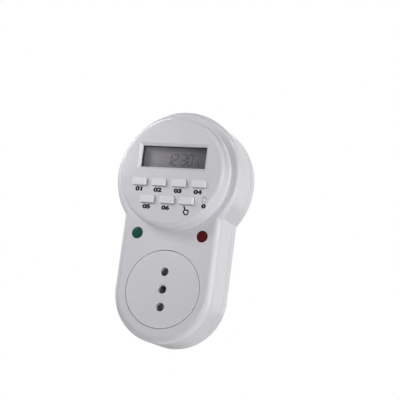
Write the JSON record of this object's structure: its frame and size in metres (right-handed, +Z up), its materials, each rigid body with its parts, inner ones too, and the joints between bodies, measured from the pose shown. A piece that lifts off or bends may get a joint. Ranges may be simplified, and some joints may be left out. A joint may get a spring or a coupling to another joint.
{
  "type": "plug-in timer socket",
  "caption": "Plug-in weekly timer with a digital display, push keys and indicator lenses in a round head, a shuttered socket outlet below and in-line round plug pins behind.",
  "frame": {"origin": "root of the earth pin, on the face of the pad that meets the wall outlet", "axes": "+X to the right as seen from the front, +Y from the front into the wall along the pins, +Z up from the outlet to the display"},
  "size_m": [0.0714, 0.058, 0.1269],
  "materials": {
    "white_plastic": "white moulded plastic with a fine satin surface",
    "outlet_plastic": "white moulded plastic with a fine satin surface",
    "key_plastic": "white moulded plastic, smooth",
    "shutter_plastic": "grey nylon",
    "holder_plastic": "off-white heat-proof plastic",
    "black_plastic": "black plastic",
    "zinc_steel": "zinc-plated steel",
    "spring_steel": "blank spring steel",
    "pin_brass": "smooth turned brass",
    "contact_brass": "stamped brass",
    "green_lens": "deep green tinted clear plastic",
    "red_lens": "deep red tinted clear plastic",
    "green_led": "green tinted resin",
    "red_led": "red tinted resin",
    "clear_window": "clear polished plastic",
    "display_glass": "grey liquid crystal cell with dark digits",
    "strip_rubber": "layered conductive rubber",
    "mat_rubber": "grey silicone rubber",
    "board_laminate": "brown paper laminate with tinned tracks",
    "black_epoxy": "black epoxy",
    "crystal_can": "bright drawn can",
    "cell_steel": "nickel-plated steel",
    "relay_case": "blue sealed case",
    "film_capacitor": "ochre box capacitor",
    "capacitor_sleeve": "black shrink sleeve",
    "varistor_coating": "blue dipped coating",
    "resistor_coating": "beige baked lacquer"
  },
  "bodies": {
    "housing": {"front_cover": "white_plastic", "rear_cover": "white_plastic", "socket_insert": "outlet_plastic", "case_screws": "zinc_steel", "shutter_spring": "spring_steel", "contact_holder": "holder_plastic", "earth_pin": "pin_brass", "line_pin": "pin_brass", "neutral_pin": "pin_brass", "line_sleeve": "black_plastic", "neutral_sleeve": "black_plastic", "earth_contact": "contact_brass", "neutral_contact": "contact_brass", "line_contact": "contact_brass", "line_busbar": "contact_brass", "switched_busbar": "contact_brass", "neutral_busbar": "contact_brass", "green_lens": "green_lens", "red_lens": "red_lens", "green_led": "green_led", "red_led": "red_led", "window": "clear_window", "display_shroud": "black_plastic", "display_glass": "display_glass", "contact_strips": "strip_rubber", "key_mat": "mat_rubber", "control_board": "board_laminate", "control_board_screws": "zinc_steel", "controller_chip": "black_epoxy", "clock_crystal": "crystal_can", "backup_cell": "cell_steel", "cell_tabs": "cell_steel", "power_board": "board_laminate", "power_board_screws": "zinc_steel", "relay": "relay_case", "dropper_capacitor": "film_capacitor", "smoothing_capacitors": "capacitor_sleeve", "varistor": "varistor_coating", "rectifier_diodes": "black_epoxy", "resistors": "resistor_coating", "relay_transistor": "black_epoxy", "link_pins": "contact_brass", "link_strips": "black_plastic"},
    "key_1": {"key_1": "key_plastic"},
    "key_2": {"key_2": "key_plastic"},
    "key_3": {"key_3": "key_plastic"},
    "key_4": {"key_4": "key_plastic"},
    "key_5": {"key_5": "key_plastic"},
    "key_6": {"key_6": "key_plastic"},
    "key_7": {"key_7": "key_plastic"},
    "reset_button": {"reset_button": "key_plastic"},
    "shutter": {"shutter": "shutter_plastic"}
  },
  "joints": [
    {"name": "key_1_push", "type": "slide", "parent": "housing", "child": "key_1", "axis": [0, 1, 0], "range_m": [0, 0.0008], "stiffness_N_per_m": 800, "springref_m": -0.0006, "deforming": ["key_mat"]},
    {"name": "key_2_push", "type": "slide", "parent": "housing", "child": "key_2", "axis": [0, 1, 0], "range_m": [0, 0.0008], "stiffness_N_per_m": 800, "springref_m": -0.0006, "deforming": ["key_mat"]},
    {"name": "key_3_push", "type": "slide", "parent": "housing", "child": "key_3", "axis": [0, 1, 0], "range_m": [0, 0.0008], "stiffness_N_per_m": 800, "springref_m": -0.0006, "deforming": ["key_mat"]},
    {"name": "key_4_push", "type": "slide", "parent": "housing", "child": "key_4", "axis": [0, 1, 0], "range_m": [0, 0.0008], "stiffness_N_per_m": 800, "springref_m": -0.0006, "deforming": ["key_mat"]},
    {"name": "key_5_push", "type": "slide", "parent": "housing", "child": "key_5", "axis": [0, 1, 0], "range_m": [0, 0.0008], "stiffness_N_per_m": 800, "springref_m": -0.0006, "deforming": ["key_mat"]},
    {"name": "key_6_push", "type": "slide", "parent": "housing", "child": "key_6", "axis": [0, 1, 0], "range_m": [0, 0.0008], "stiffness_N_per_m": 800, "springref_m": -0.0006, "deforming": ["key_mat"]},
    {"name": "key_7_push", "type": "slide", "parent": "housing", "child": "key_7", "axis": [0, 1, 0], "range_m": [0, 0.0008], "stiffness_N_per_m": 800, "springref_m": -0.0006, "deforming": ["key_mat"]},
    {"name": "reset_push", "type": "slide", "parent": "housing", "child": "reset_button", "axis": [0, 1, 0], "range_m": [0, 0.0005], "stiffness_N_per_m": 800, "springref_m": -0.0006, "deforming": ["key_mat"]},
    {"name": "shutter_slide", "type": "slide", "parent": "housing", "child": "shutter", "axis": [1, 0, 0], "range_m": [0, 0.005], "stiffness_N_per_m": 150, "springref_m": -0.005, "deforming": ["shutter_spring"]}
  ]
}
